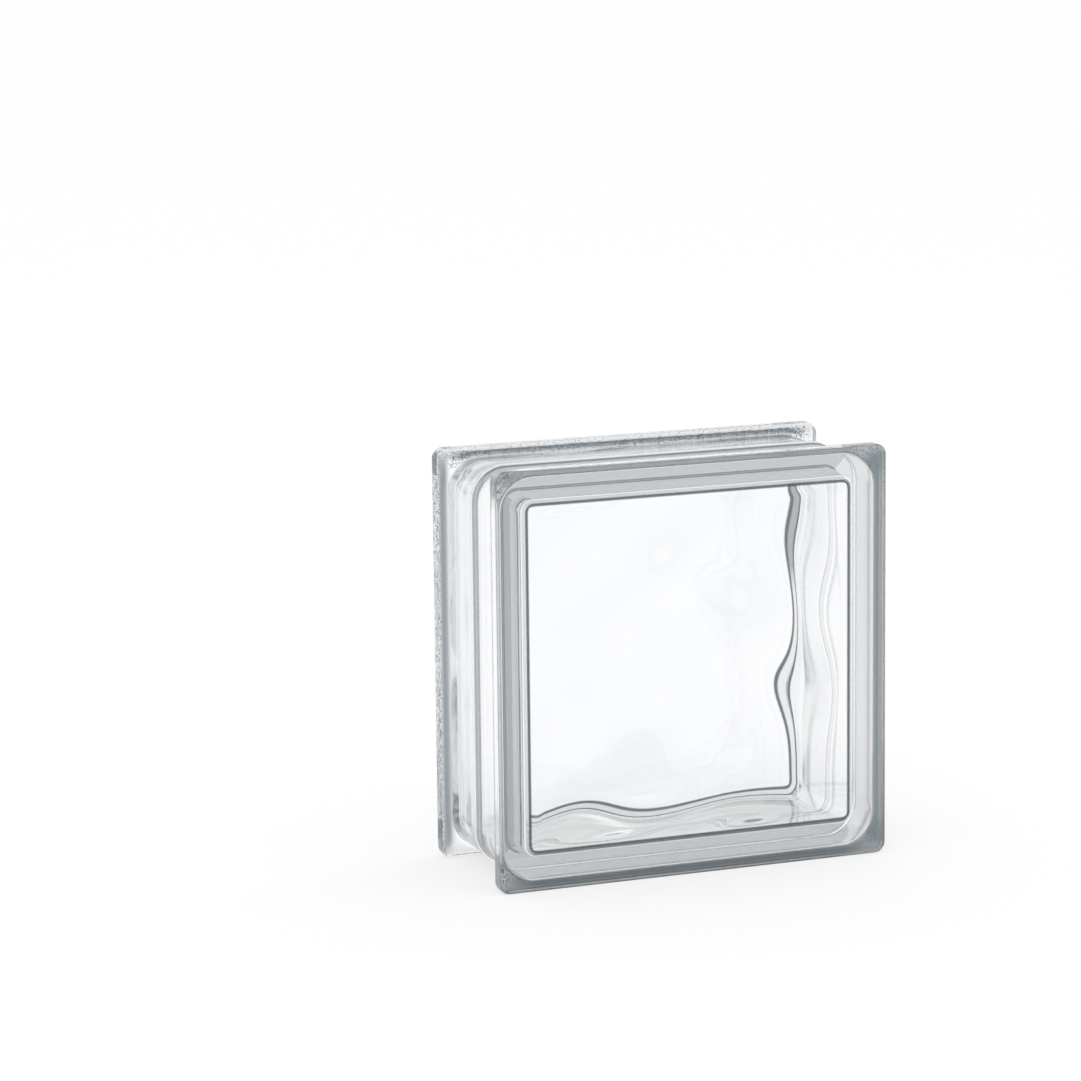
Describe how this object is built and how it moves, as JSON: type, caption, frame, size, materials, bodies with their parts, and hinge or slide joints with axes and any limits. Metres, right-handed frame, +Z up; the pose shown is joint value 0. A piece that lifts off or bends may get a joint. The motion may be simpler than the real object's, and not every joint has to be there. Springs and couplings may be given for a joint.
{
  "type": "glass block",
  "caption": "Square hollow glass block: two pressed clear halves fused at a mid seam, soft waves on the inner faces, mortar channel around the edges.",
  "frame": {"origin": "middle of the bottom, under the fused seam: X and Y at the block's middle, Z at the resting edge", "axes": "+X to the right across the face, +Z up, +Y through the block from the front face to the back face"},
  "size_m": [0.19, 0.08, 0.19],
  "materials": {
    "clear_glass": "fire-polished pressed soda-lime glass, waved inside"
  },
  "bodies": {
    "root": {"front_half": "clear_glass", "back_half": "clear_glass"}
  },
  "joints": []
}
